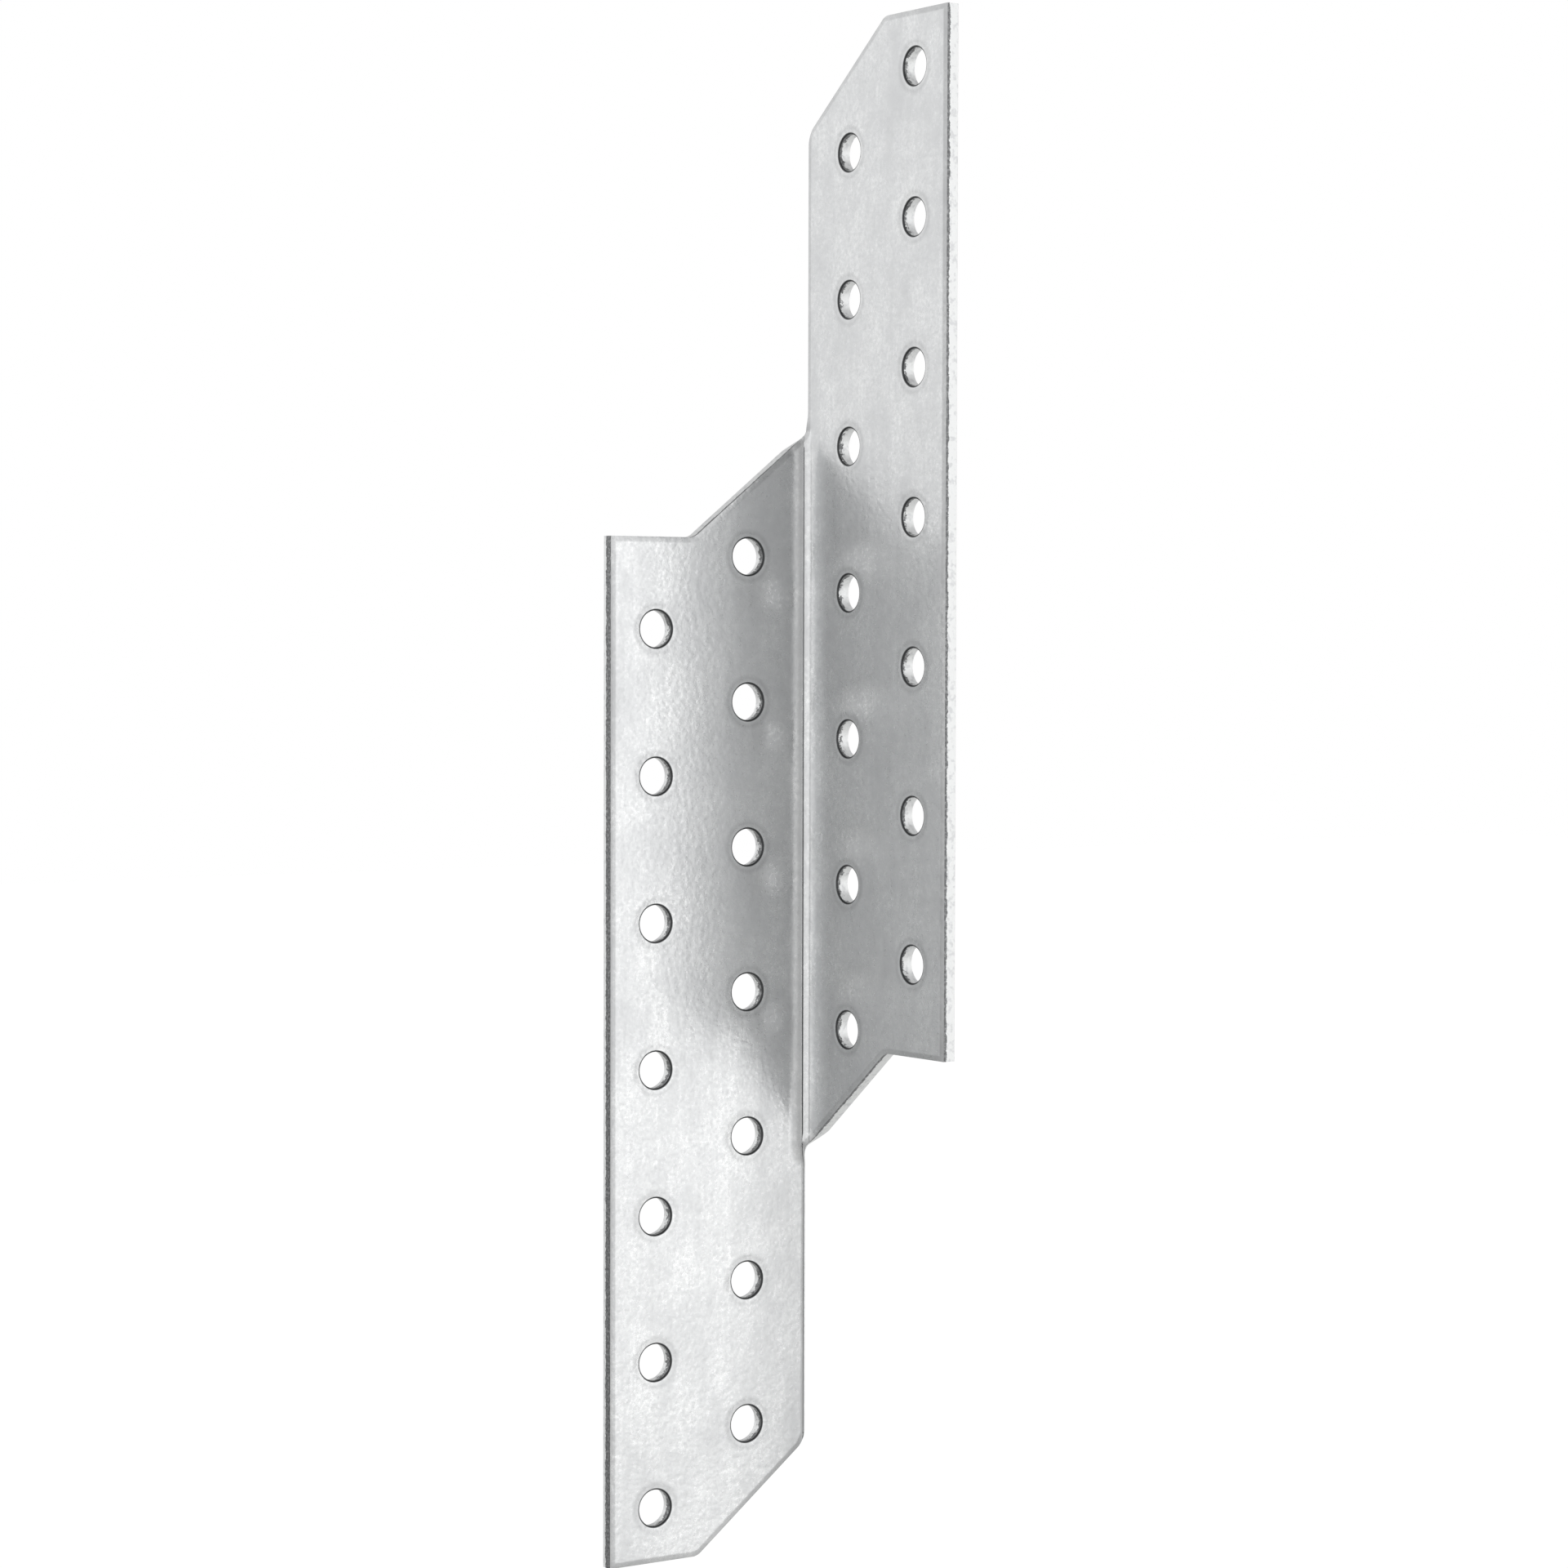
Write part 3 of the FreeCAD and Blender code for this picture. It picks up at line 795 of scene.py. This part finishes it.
def note_outline(blank, flat):
    """Wear of the drawn-in edge, painted shade in the creases, and how much of the outline's walls is torn.
    """
    torn = []
    worn = []
    long_edge = flat.width + flat.fold_line - flat.edge_roll - NEAR
    for spot in blank.data.vertices:
        depth = spot.co.y - flat.hollow_face
        reach = spot.co.x - flat.fold_line
        land = flat.land_deep if reach > long_edge else flat.land_thin
        torn.append(torn_at(depth - land, EDGE_TORN_SPAN))
        # Painted shade: the two crease lines are darkened towards the dark zinc colour, most at the fold's
        # low end.
        sunk = [part for line, part in flat.creases if abs(spot.co.x - line) < NEAR]
        if sunk and NEAR < depth < 2 * flat.crease_depth:
            worn.append(sunk[0] * (CREASE_SHADE + (1 - CREASE_SHADE) * spot.co.z / flat.fold_end))
        elif depth < flat.sheet / 2:
            most = flat.long_edge_wear if abs(reach) > long_edge else flat.rim_wear
            worn.append(most * wear_at(depth / flat.roll_depth))
        else:
            worn.append(0.0)
    note_shares(blank, torn, worn)


def fold_half(blank, flat):
    """Bend the strip by half a right angle over the half of the fold beside the leaf in y = 0."""
    group = blank.vertex_groups.new(name="bent")
    for spot in blank.data.vertices:
        part = min(1.0, max(0.0, (spot.co.z + flat.fade_end) / flat.fade))
        eased = part * part * (3 - 2 * part)
        group.add([spot.index], eased, "REPLACE")
    bpy.ops.object.empty_add(location=(-flat.tangent, -flat.neutral_depth, 0))
    hinge = bpy.context.object
    reaches = [spot.co.x + flat.tangent for spot in blank.data.vertices]
    low, high = min(reaches), max(reaches)
    alone(blank)
    bend = blank.modifiers.new("fold", "SIMPLE_DEFORM")
    bend.deform_method = "BEND"
    bend.deform_axis = "Z"
    bend.origin = hinge
    bend.vertex_group = group.name
    bend.limits = (-low / (high - low), (flat.half_bend - low) / (high - low))
    bend.angle = -math.pi / 4
    bpy.ops.object.modifier_apply(modifier=bend.name)
    bpy.data.objects.remove(hinge)
    blank.vertex_groups.remove(blank.vertex_groups["bent"])


def turn_over(blank, flat):
    """Lay the other leaf into y = 0, tip down, where the first one was."""
    level = flat.neutral_radius * math.sin(math.pi / 4) - flat.tangent
    to_fold = Matrix.Translation((flat.fold_line, -flat.neutral_depth, 0))
    eighth_turn = Matrix.Rotation(math.pi / 4, 4, "Z")
    upright = to_fold @ eighth_turn @ Matrix.Translation((-level, -level, 0))
    half_turn = Matrix.Rotation(math.pi, 4, "Y")
    there = Matrix.Translation((flat.fold_line, 0, 0))
    back = Matrix.Translation((-flat.fold_line, 0, 0))
    blank.matrix_world = there @ half_turn @ back @ upright
    alone(blank)
    bpy.ops.object.transform_apply(location=True, rotation=True, scale=True)


def fold(blank, flat):
    """Fold the strip to a right angle, half of the bend at a time, and bring it to metres."""
    fold_half(blank, flat)
    turn_over(blank, flat)
    fold_half(blank, flat)
    blank.scale = (1 / METRE,) * 3
    alone(blank)
    bpy.ops.object.transform_apply(location=True, rotation=True, scale=True)


def shade(blank):
    """Smooth the rolled and bent parts, and keep the sheared edges crisp."""
    alone(blank)
    bpy.ops.object.shade_smooth_by_angle(angle=CRISP_ANGLE)
    modifier = blank.modifiers.new("even_shading", "WEIGHTED_NORMAL")
    modifier.keep_sharp = True
    modifier.weight = AREA_WEIGHT
    bpy.ops.object.modifier_apply(modifier=modifier.name)


def node(tree, kind, settings=None):
    """Add a node with its settings and links.

    Each is given by an input's name or place, or else by an attribute. A node that is linked stands for its
    first live output.
    """
    made = tree.nodes.new(kind)
    for name, value in (settings or {}).items():
        if isinstance(value, bpy.types.Node):
            value = next(socket for socket in value.outputs if socket.enabled)
        if isinstance(value, bpy.types.NodeSocket):
            tree.links.new(value, made.inputs[name])
        elif isinstance(name, int) or name in made.inputs:
            made.inputs[name].default_value = value
        else:
            setattr(made, name, value)
    return made


def new_material(name):
    """Empty material with its node tree."""
    material = bpy.data.materials.new(name)
    material.use_nodes = True
    material.node_tree.nodes.clear()
    return material, material.node_tree


def draw_patterns(tree, place, patterns):
    """Soft patterns of a surface, each by its real width and drawn out along the fold."""
    drawn = []
    for name, (width, detail, roughness, stretch) in patterns.items():
        mapped = node(tree, "ShaderNodeMapping", {"Vector": place, "Scale": (1, 1, 1 / stretch)})
        settings = {"Vector": mapped, "Scale": METRE / width, "Detail": detail, "Roughness": roughness}
        drawn.append(node(tree, "ShaderNodeTexNoise", {"label": name, **settings}))
    return drawn


def zinc_coat(finish):
    """Hot-dip galvanised sheet, skin-passed: the zinc was rolled once more by roughened rolls.

    That gives a pale satin metal without large spangle: a fine grain, a slight ripple of about 1 mm that
    mottles the edges of reflections, cloudy patches of about 2 and 6 mm where the coat is duller, and faint
    streaks along the rolling direction, which is the fold's. The grain of the real coat is too fine to show,
    so it is drawn 0.5 mm wide.
    """
    material, tree = new_material("zinc_skin_passed")
    place = node(tree, "ShaderNodeTexCoord").outputs["Object"]
    grain, ripple, clouds, patches, streaks = draw_patterns(tree, place, ZINC_PATTERNS)
    cloudy = node(tree, "ShaderNodeMath", {"operation": "MULTIPLY_ADD", 0: patches, 1: 0.5, 2: clouds})
    dulled = node(tree, "ShaderNodeMapRange", {"Value": cloudy, "From Min": 0.6, "From Max": 0.95})
    coat = node(tree, "ShaderNodeMix", {"data_type": "RGBA", 0: dulled, 6: finish.zinc, 7: finish.zinc_dull})
    grainy = node(tree, "ShaderNodeMath", {"operation": "MULTIPLY_ADD", 0: ripple, 1: 0.6, 2: grain})
    pits = node(tree, "ShaderNodeMapRange", {"Value": grainy, "From Min": 0.55, "From Max": 1.05})
    coat = node(tree, "ShaderNodeMix", {"data_type": "RGBA", 0: pits, 6: coat, 7: finish.pitted})
    across = node(tree, "ShaderNodeSeparateXYZ", {"Vector": place})
    # Painted shade: a band of the purlin leaf, from 16 to 2 mm off the rafter leaf, is darkened where the
    # leaves face each other near the fold.
    rise = {"From Min": FOLD_SHADE_START, "From Max": FOLD_SHADE_FULL, "To Max": finish.painted_fold_shade}
    rising = node(tree, "ShaderNodeMapRange", {"Value": across, **rise})
    fall = {"From Min": FOLD_SHADE_FADING, "From Max": FOLD_SHADE_END, "To Max": finish.painted_fold_shade}
    falling = node(tree, "ShaderNodeMapRange", {"Value": across, **fall})
    fold_shade = node(tree, "ShaderNodeMath", {"operation": "SUBTRACT", 0: rising, 1: falling})
    # The coat darkens where its zinc is worn, and where painted shade lies in the creases and beside the
    # fold.
    worn = node(tree, "ShaderNodeAttribute", {"attribute_name": WEAR_AND_SHADE_NAME}).outputs["Fac"]
    wear_and_fold_shade = node(tree, "ShaderNodeMath", {"operation": "ADD", "use_clamp": True, 0: worn, 1: fold_shade})
    coat = node(tree, "ShaderNodeMix", {"data_type": "RGBA", 0: wear_and_fold_shade, 6: coat, 7: finish.worn})
    mixed = node(tree, "ShaderNodeMath", {"operation": "MULTIPLY_ADD", 0: streaks, 1: 0.35, 2: grain})
    rough = node(tree, "ShaderNodeMath", {"operation": "MULTIPLY_ADD", 0: clouds, 1: 0.3, 2: mixed})
    ends = {"To Min": finish.zinc_gloss - finish.gloss_less, "To Max": finish.zinc_gloss + finish.gloss_more}
    gloss = node(tree, "ShaderNodeMapRange", {"Value": rough, "From Min": 0.61, "From Max": 1.04, **ends})
    rippled = node(tree, "ShaderNodeBump", {"Height": ripple, "Strength": 0.6, "Distance": 0.00008})
    fine = {"Height": mixed, "Normal": rippled, "Strength": 0.25, "Distance": 0.00002}
    bump = node(tree, "ShaderNodeBump", fine)
    surface = {"Metallic": 1.0, "Base Color": coat, "Roughness": gloss, "Normal": bump}
    shader = node(tree, "ShaderNodeBsdfPrincipled", surface)
    node(tree, "ShaderNodeOutputMaterial", {"Surface": shader})
    return material


def sheared_steel(finish):
    """Bare mild steel, sheared through after coating.

    The punch first burnishes a dark, shiny land with smears of zinc on it, then the rest tears off and leaves
    a pale, rough zone with duller patches. The line between them wanders by a few tenths of a millimetre.
    """
    material, tree = new_material("sheared_steel")
    place = node(tree, "ShaderNodeTexCoord").outputs["Object"]
    waves, grain, flakes = draw_patterns(tree, place, STEEL_PATTERNS)
    share_torn = node(tree, "ShaderNodeAttribute", {"attribute_name": TORN_NAME}).outputs["Fac"]
    swing = {"From Min": 0.36, "From Max": 0.64, "To Min": -0.5, "To Max": 0.5}
    wander = node(tree, "ShaderNodeMapRange", {"Value": waves, **swing})
    wavy = node(tree, "ShaderNodeMath", {"operation": "ADD", 0: share_torn, 1: wander})
    torn = node(tree, "ShaderNodeMapRange", {"Value": wavy, "From Min": 0.43, "From Max": 0.55})
    smeared = node(tree, "ShaderNodeMapRange", {"Value": grain, "From Min": 0.45, "From Max": 0.7})
    zinc = {"data_type": "RGBA", 0: smeared, 6: finish.land, 7: finish.land_smeared}
    land = node(tree, "ShaderNodeMix", zinc)
    dulled = node(tree, "ShaderNodeMapRange", {"Value": flakes, "From Min": 0.52, "From Max": 0.66})
    zone = node(tree, "ShaderNodeMix", {"data_type": "RGBA", 0: dulled, 6: finish.torn, 7: finish.torn_dull})
    steel = node(tree, "ShaderNodeMix", {"data_type": "RGBA", 0: torn, 6: land, 7: zone})
    ends = {"To Min": finish.land_gloss, "To Max": finish.torn_gloss}
    gloss = node(tree, "ShaderNodeMapRange", {"Value": torn, **ends})
    bump = node(tree, "ShaderNodeBump", {"Height": grain, "Strength": 0.6, "Distance": 0.00006})
    surface = {"Metallic": 1.0, "Base Color": steel, "Roughness": gloss, "Normal": bump}
    shader = node(tree, "ShaderNodeBsdfPrincipled", surface)
    node(tree, "ShaderNodeOutputMaterial", {"Surface": shader})
    return material


class MakeAnchor(Operator):
    """Cut, punch and fold the sheet, and give it its zinc coat"""

    bl_idname = "rafter_anchor.make_sheet"
    bl_label = "Folded sheet"

    def execute(self, context):
        scene = context.scene
        flat = Flat(scene.anchor_sizes)
        coats = (zinc_coat(scene.anchor_finish), sheared_steel(scene.anchor_finish))
        sheet = cut_blank(flat, coats)
        punch_holes(sheet, flat, scene.punch_sizes, coats)
        fold(sheet, flat)
        shade(sheet)
        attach(sheet, BODY)
        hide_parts(NODE)
        return {"FINISHED"}


def pale_floor(studio):
    """Painted studio floor: a matt, nearly white sheet that keeps the object's shadow."""
    material, tree = new_material("matt_white_floor")
    seen = node(tree, "ShaderNodeLightPath").outputs["Is Camera Ray"]
    lit = node(tree, "ShaderNodeMath", {"operation": "MULTIPLY", 0: seen, 1: studio.floor_white})
    paint = node(tree, "ShaderNodeBsdfDiffuse", {"Color": studio.paint})
    white = node(tree, "ShaderNodeEmission", {"Color": studio.white, "Strength": studio.floor_glow})
    mixed = node(tree, "ShaderNodeMixShader", {0: lit, 1: paint, 2: white})
    node(tree, "ShaderNodeOutputMaterial", {"Surface": mixed})
    return material


def light_world(scene, studio):
    """Pale surround: white to the camera, dim round the front, and bright where the backdrop shows behind."""
    world = bpy.data.worlds.new("pale_surround")
    scene.world = world
    world.use_nodes = True
    tree = world.node_tree
    tree.nodes.clear()
    way = node(tree, "ShaderNodeTexCoord").outputs["Generated"]
    behind = heading(studio.backdrop_heading)
    towards = node(tree, "ShaderNodeVectorMath", {"operation": "DOT_PRODUCT", 0: way, 1: behind})
    edge = {"From Min": BACKDROP_EDGE, "From Max": BACKDROP_FULL}
    glows = {"To Min": studio.surround, "To Max": studio.backdrop}
    level = node(tree, "ShaderNodeMapRange", {"Value": towards, **edge, **glows})
    seen = node(tree, "ShaderNodeLightPath").outputs["Is Camera Ray"]
    white = node(tree, "ShaderNodeMix", {"data_type": "FLOAT", 0: seen, 2: level, 3: 1.0})
    glow = node(tree, "ShaderNodeBackground", {"Color": studio.white, "Strength": white})
    node(tree, "ShaderNodeOutputWorld", {"Surface": glow})


def heading(turn):
    """Level direction that is turned from -Y towards +X."""
    return Vector((math.sin(turn), -math.cos(turn), 0.0))


def soft_box(name, distance, turn, spread, rise, glow):
    """Rectangular soft light level with the anchor, sized by the degrees that it covers from there."""
    wide = 2 * distance * math.tan(math.radians(spread) / 2)
    tall = 2 * distance * math.tan(math.radians(rise) / 2)
    way = heading(math.radians(turn))
    bpy.ops.object.light_add(type="AREA", location=way * distance)
    lamp = bpy.context.object
    lamp.name = name
    lamp.rotation_euler = way.to_track_quat("Z", "Y").to_euler()
    lamp.data.shape = "RECTANGLE"
    lamp.data.size = wide
    lamp.data.size_y = tall
    lamp.data.energy = glow * math.pi * wide * tall
    lamp.visible_camera = False


def place_camera(scene, studio):
    """Camera at the photograph's place, looking along its heading."""
    camera = bpy.data.objects.new("camera", bpy.data.cameras.new("camera"))
    scene.collection.objects.link(camera)
    camera.data.lens = studio.lens
    camera.data.sensor_width = SENSOR
    camera.data.clip_start = NEAREST
    camera.data.clip_end = FARTHEST
    camera.location = studio.eye
    level_view = Euler((math.pi / 2 + studio.tilt, 0.0, -studio.heading), "XYZ").to_matrix()
    camera.rotation_euler = (level_view @ Matrix.Rotation(studio.roll, 3, "Z")).to_euler()
    scene.camera = camera


class MakeStudio(Operator):
    """Set the floor, the soft light and the camera"""

    bl_idname = "rafter_anchor.make_studio"
    bl_label = "Studio"

    def execute(self, context):
        scene = context.scene
        studio = scene.studio_sizes
        place = (0, 0, CAD_LOW.z - studio.drop)
        bpy.ops.mesh.primitive_plane_add(size=studio.floor_side, location=place)
        floor = context.object
        floor.name = "floor"
        floor.data.materials.append(pale_floor(studio))
        light_world(scene, studio)
        far = studio.lamp_distance
        soft_box("key_front_right", far, turn=25, spread=32, rise=66, glow=0.86)
        soft_box("fill_front", far, turn=-7, spread=20, rise=66, glow=0.4)
        soft_box("card_left", far, turn=-70, spread=40, rise=66, glow=0.72)
        soft_box("rim_right", far, turn=74, spread=24, rise=60, glow=1.1)
        place_camera(scene, studio)
        scene.view_settings.view_transform = "Standard"
        return {"FINISHED"}


class AnchorPanel(Panel):
    """Lists what can be made, with the sizes and colours behind it"""

    bl_idname = "VIEW3D_PT_rafter_anchor"
    bl_label = "Rafter anchor"
    bl_space_type = "VIEW_3D"
    bl_region_type = "UI"
    bl_category = "Anchor"

    def draw(self, context):
        layout = self.layout
        for maker in MAKERS:
            layout.operator(maker.bl_idname)
        for name in GROUPS:
            box = layout.box()
            group = getattr(context.scene, name)
            for item in group.bl_rna.properties.keys():
                if item not in ("rna_type", "name"):
                    box.prop(group, item)


GROUPS = {
    "anchor_sizes": AnchorSizes,
    "punch_sizes": PunchSizes,
    "anchor_finish": AnchorFinish,
    "studio_sizes": StudioSizes,
}
MAKERS = (MakeAnchor, MakeStudio)


def register():
    for name, group in GROUPS.items():
        bpy.utils.register_class(group)
        setattr(bpy.types.Scene, name, PointerProperty(type=group))
    for maker in MAKERS:
        bpy.utils.register_class(maker)
    bpy.utils.register_class(AnchorPanel)


def unregister():
    bpy.utils.unregister_class(AnchorPanel)
    for maker in reversed(MAKERS):
        bpy.utils.unregister_class(maker)
    for name, group in reversed(GROUPS.items()):
        delattr(bpy.types.Scene, name)
        bpy.utils.unregister_class(group)


def main():
    register()
    for maker in MAKERS:
        family, verb = maker.bl_idname.split(".")
        getattr(getattr(bpy.ops, family), verb)()


if __name__ == "__main__":
    main()
